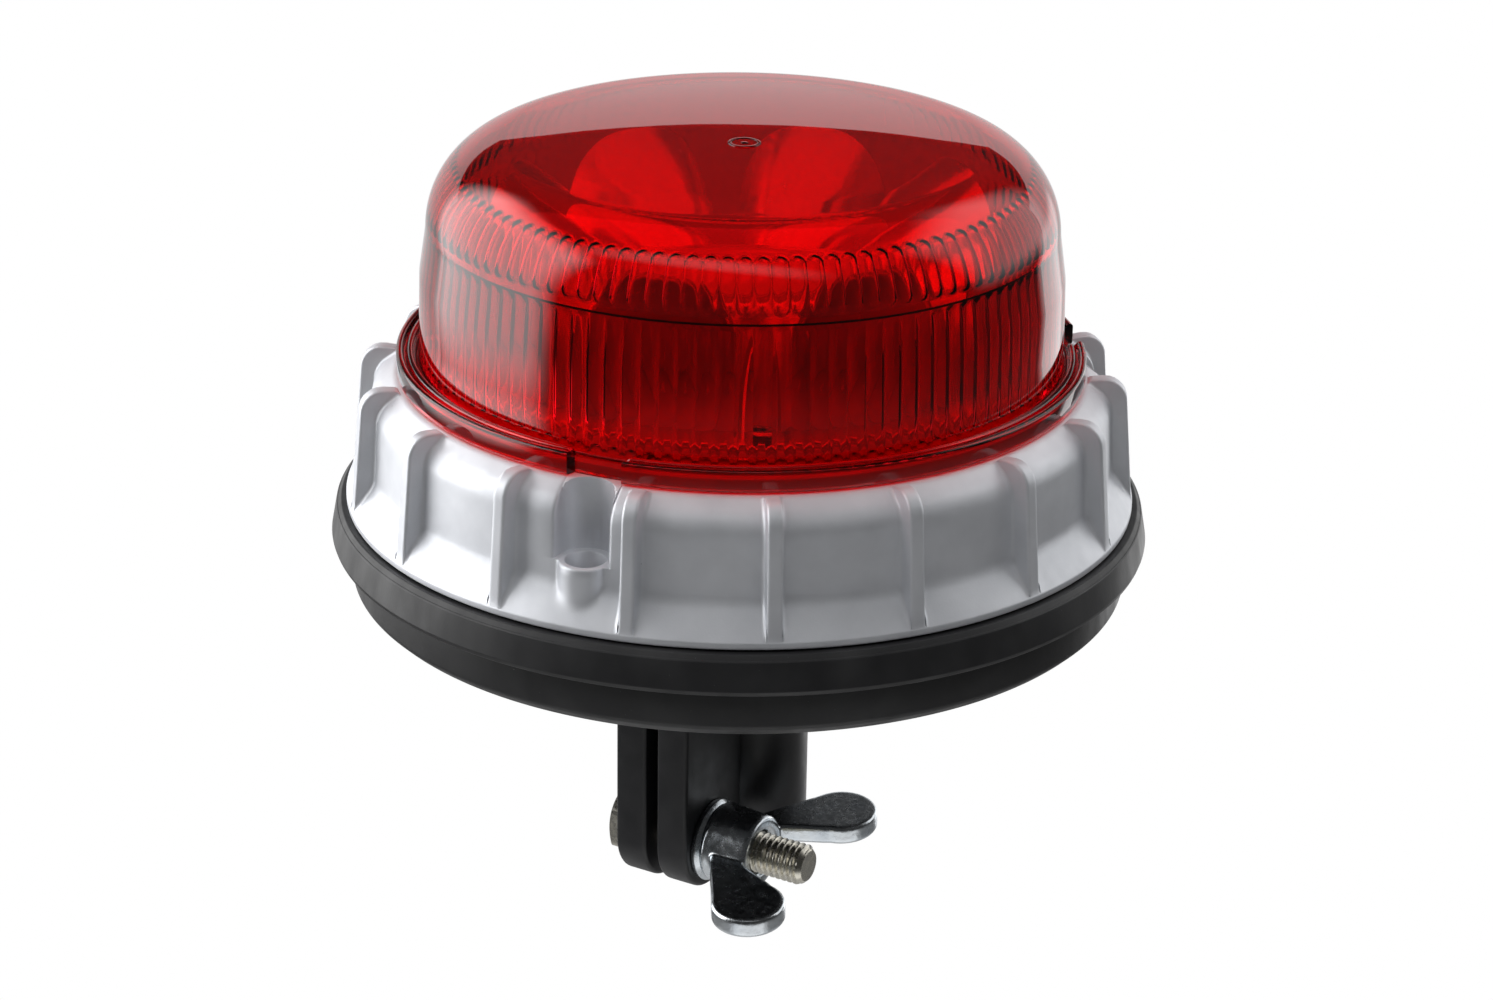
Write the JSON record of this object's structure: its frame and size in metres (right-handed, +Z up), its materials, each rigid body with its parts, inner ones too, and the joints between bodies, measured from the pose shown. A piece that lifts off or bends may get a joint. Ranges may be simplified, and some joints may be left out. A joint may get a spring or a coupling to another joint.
{
  "type": "barricade warning light",
  "caption": "Red domed LED warning light in a ribbed metal ring with a black base and a split socket that clamps on a pole with a bolt and wing nut.",
  "frame": {"origin": "centre of the pole socket's mouth, at its lower end", "axes": "+Z up along the light's axis, +X along the clamp bolt towards the wing nut, and the clamp ears point towards -Y"},
  "size_m": [0.154, 0.154, 0.1439],
  "materials": {
    "lens": "clear red polycarbonate, polished outside",
    "seal_rubber": "matte",
    "cast_metal": "satin die-cast",
    "band_rubber": "satin",
    "black_plastic": "satin",
    "zinc": "bright zinc plate",
    "bolt_steel": "yellowish passivated steel",
    "mirror": "vacuum metallised",
    "white_board": "white solder mask",
    "green_board": "green solder mask",
    "led_body": "phosphor dome",
    "pad": "soft grey pad",
    "label": "printed card, no text",
    "brass": "satin",
    "chip": "moulded epoxy",
    "can_sleeve": "shrink sleeve",
    "ferrite": "sintered",
    "red_wire": "insulation",
    "brown_wire": "insulation",
    "nylon": "natural nylon"
  },
  "bodies": {
    "light": {"lens": "lens", "lens_seal": "seal_rubber", "housing_ring": "cast_metal", "base_band": "band_rubber", "base_bowl": "black_plastic", "housing_seal": "seal_rubber", "vent_plug": "black_plastic", "clamp_socket": "black_plastic", "clamp_bolt": "bolt_steel", "contact_carrier": "black_plastic", "contact_spring": "bolt_steel", "earth_contact": "brass", "thermal_pad": "pad", "led_board": "white_board", "reflector": "mirror", "label_disc": "label", "driver_board": "green_board", "input_capacitor": "can_sleeve", "output_capacitor": "can_sleeve", "inductor": "ferrite", "control_chip": "chip", "power_transistor": "chip", "board_connector": "nylon", "supply_lead": "red_wire", "earth_lead": "brown_wire", "led_lead": "red_wire", "housing_screw_1": "zinc", "socket_screw_1": "zinc", "driver_screw_1": "zinc", "housing_screw_2": "zinc", "socket_screw_2": "zinc", "driver_screw_2": "zinc", "housing_screw_3": "zinc", "socket_screw_3": "zinc", "driver_screw_3": "zinc", "led_1": "led_body", "led_2": "led_body", "led_3": "led_body", "led_4": "led_body", "led_5": "led_body", "led_6": "led_body", "led_7": "led_body", "led_8": "led_body", "reflector_screw_1": "zinc", "reflector_screw_2": "zinc", "reflector_screw_3": "zinc", "reflector_screw_4": "zinc"},
    "washer": {"flat_washer": "zinc"},
    "nut": {"wing_nut": "zinc"},
    "contact": {"centre_contact": "brass"}
  },
  "joints": [
    {"name": "washer_slide", "type": "slide", "parent": "light", "child": "washer", "axis": [1, 0, 0], "range_m": [0, 0.005]},
    {"name": "nut_turn", "type": "hinge", "parent": "washer", "child": "nut", "pos_m": [0.0096, -0.02205, 0.0096], "axis": [1, 0, 0], "range_deg": [0, 1441]},
    {"name": "contact_press", "type": "slide", "parent": "light", "child": "contact", "axis": [0, 0, 1], "range_m": [0, 0.003], "stiffness_N_per_m": 400, "springref_m": -0.002, "deforming": ["contact_spring"]}
  ],
  "couplings": [
    {"joint": "nut_turn", "follows": "washer_slide", "rad_per_m": 5026.5}
  ]
}
